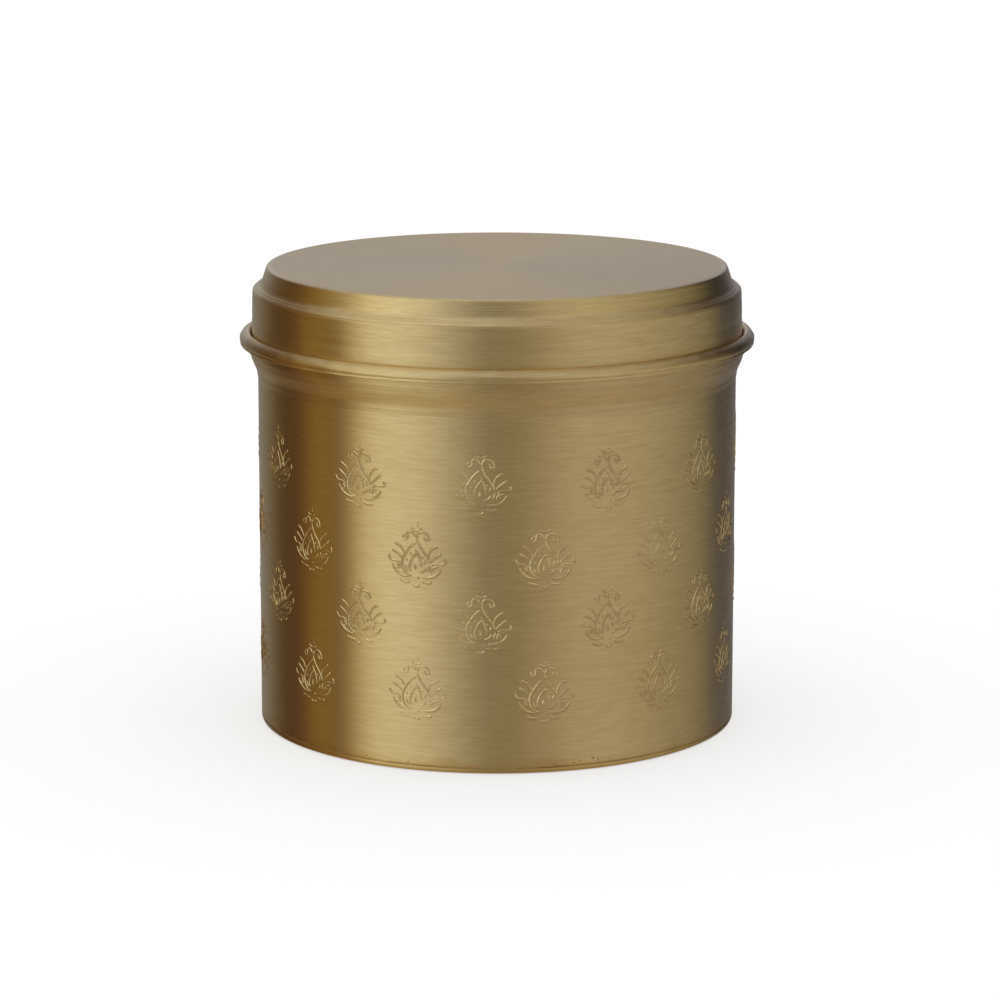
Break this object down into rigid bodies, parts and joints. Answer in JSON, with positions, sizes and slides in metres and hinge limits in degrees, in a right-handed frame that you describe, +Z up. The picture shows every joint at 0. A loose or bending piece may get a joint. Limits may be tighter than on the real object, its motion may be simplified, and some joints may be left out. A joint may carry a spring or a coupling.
{
  "type": "round lidded spice box",
  "caption": "Round brass spice box with a drop-in lid, an inner cover with a knob, a spoon, and two tiers of lift-out bowls, the upper tier on a tray with lifting loops.",
  "frame": {"origin": "centre of the foot, on the surface the box stands on", "axes": "+Z up along the box's axis; -Y is the front; +X to the right seen from the front"},
  "size_m": [0.1614, 0.1614, 0.1444],
  "materials": {
    "brushed_brass": "satin, brushed round the axis",
    "plain_brass": "plain spun brass, softly polished",
    "iron_wire": "dull drawn wire"
  },
  "bodies": {
    "box": {"body_wall": "brushed_brass", "base_disc": "brushed_brass", "rim_wire": "iron_wire"},
    "lid": {"lid": "brushed_brass"},
    "inner_cover": {"inner_cover": "plain_brass", "cover_knob": "plain_brass"},
    "spoon": {"spoon": "plain_brass"},
    "tray": {"tray": "plain_brass", "tray_loop_left": "plain_brass", "tray_loop_right": "plain_brass"},
    "lower_katori_centre": {"lower_katori_centre": "plain_brass"},
    "lower_katori_1": {"lower_katori_1": "plain_brass"},
    "lower_katori_2": {"lower_katori_2": "plain_brass"},
    "lower_katori_3": {"lower_katori_3": "plain_brass"},
    "lower_katori_4": {"lower_katori_4": "plain_brass"},
    "lower_katori_5": {"lower_katori_5": "plain_brass"},
    "lower_katori_6": {"lower_katori_6": "plain_brass"},
    "upper_katori_centre": {"upper_katori_centre": "plain_brass"},
    "upper_katori_1": {"upper_katori_1": "plain_brass"},
    "upper_katori_2": {"upper_katori_2": "plain_brass"},
    "upper_katori_3": {"upper_katori_3": "plain_brass"},
    "upper_katori_4": {"upper_katori_4": "plain_brass"},
    "upper_katori_5": {"upper_katori_5": "plain_brass"},
    "upper_katori_6": {"upper_katori_6": "plain_brass"}
  },
  "joints": [
    {"name": "lid_lift", "type": "slide", "parent": "box", "child": "lid", "axis": [0, 0, 1], "range_m": [0, 0.37]},
    {"name": "inner_cover_lift", "type": "slide", "parent": "box", "child": "inner_cover", "axis": [0, 0, 1], "range_m": [0, 0.311]},
    {"name": "spoon_lift", "type": "slide", "parent": "inner_cover", "child": "spoon", "axis": [0, 0, 1], "range_m": [0, 0.03]},
    {"name": "tray_lift", "type": "slide", "parent": "box", "child": "tray", "axis": [0, 0, 1], "range_m": [0, 0.19]},
    {"name": "lower_katori_centre_lift", "type": "slide", "parent": "box", "child": "lower_katori_centre", "axis": [0, 0, 1], "range_m": [0, 0.13]},
    {"name": "lower_katori_1_lift", "type": "slide", "parent": "box", "child": "lower_katori_1", "axis": [0, 0, 1], "range_m": [0, 0.13]},
    {"name": "lower_katori_2_lift", "type": "slide", "parent": "box", "child": "lower_katori_2", "axis": [0, 0, 1], "range_m": [0, 0.13]},
    {"name": "lower_katori_3_lift", "type": "slide", "parent": "box", "child": "lower_katori_3", "axis": [0, 0, 1], "range_m": [0, 0.13]},
    {"name": "lower_katori_4_lift", "type": "slide", "parent": "box", "child": "lower_katori_4", "axis": [0, 0, 1], "range_m": [0, 0.13]},
    {"name": "lower_katori_5_lift", "type": "slide", "parent": "box", "child": "lower_katori_5", "axis": [0, 0, 1], "range_m": [0, 0.13]},
    {"name": "lower_katori_6_lift", "type": "slide", "parent": "box", "child": "lower_katori_6", "axis": [0, 0, 1], "range_m": [0, 0.13]},
    {"name": "upper_katori_centre_lift", "type": "slide", "parent": "tray", "child": "upper_katori_centre", "axis": [0, 0, 1], "range_m": [0, 0.06]},
    {"name": "upper_katori_1_lift", "type": "slide", "parent": "tray", "child": "upper_katori_1", "axis": [0, 0, 1], "range_m": [0, 0.06]},
    {"name": "upper_katori_2_lift", "type": "slide", "parent": "tray", "child": "upper_katori_2", "axis": [0, 0, 1], "range_m": [0, 0.06]},
    {"name": "upper_katori_3_lift", "type": "slide", "parent": "tray", "child": "upper_katori_3", "axis": [0, 0, 1], "range_m": [0, 0.06]},
    {"name": "upper_katori_4_lift", "type": "slide", "parent": "tray", "child": "upper_katori_4", "axis": [0, 0, 1], "range_m": [0, 0.06]},
    {"name": "upper_katori_5_lift", "type": "slide", "parent": "tray", "child": "upper_katori_5", "axis": [0, 0, 1], "range_m": [0, 0.06]},
    {"name": "upper_katori_6_lift", "type": "slide", "parent": "tray", "child": "upper_katori_6", "axis": [0, 0, 1], "range_m": [0, 0.06]}
  ],
  "couplings": [
    {"joint": "inner_cover_lift", "follows": "lid_lift", "ratio": 0.84},
    {"joint": "spoon_lift", "follows": "lid_lift", "ratio": 0.08},
    {"joint": "tray_lift", "follows": "lid_lift", "ratio": 0.51},
    {"joint": "lower_katori_centre_lift", "follows": "lid_lift", "ratio": 0.35},
    {"joint": "lower_katori_1_lift", "follows": "lid_lift", "ratio": 0.35},
    {"joint": "lower_katori_2_lift", "follows": "lid_lift", "ratio": 0.35},
    {"joint": "lower_katori_3_lift", "follows": "lid_lift", "ratio": 0.35},
    {"joint": "lower_katori_4_lift", "follows": "lid_lift", "ratio": 0.35},
    {"joint": "lower_katori_5_lift", "follows": "lid_lift", "ratio": 0.35},
    {"joint": "lower_katori_6_lift", "follows": "lid_lift", "ratio": 0.35},
    {"joint": "upper_katori_centre_lift", "follows": "lid_lift", "ratio": 0.16},
    {"joint": "upper_katori_1_lift", "follows": "lid_lift", "ratio": 0.16},
    {"joint": "upper_katori_2_lift", "follows": "lid_lift", "ratio": 0.16},
    {"joint": "upper_katori_3_lift", "follows": "lid_lift", "ratio": 0.16},
    {"joint": "upper_katori_4_lift", "follows": "lid_lift", "ratio": 0.16},
    {"joint": "upper_katori_5_lift", "follows": "lid_lift", "ratio": 0.16},
    {"joint": "upper_katori_6_lift", "follows": "lid_lift", "ratio": 0.16}
  ]
}
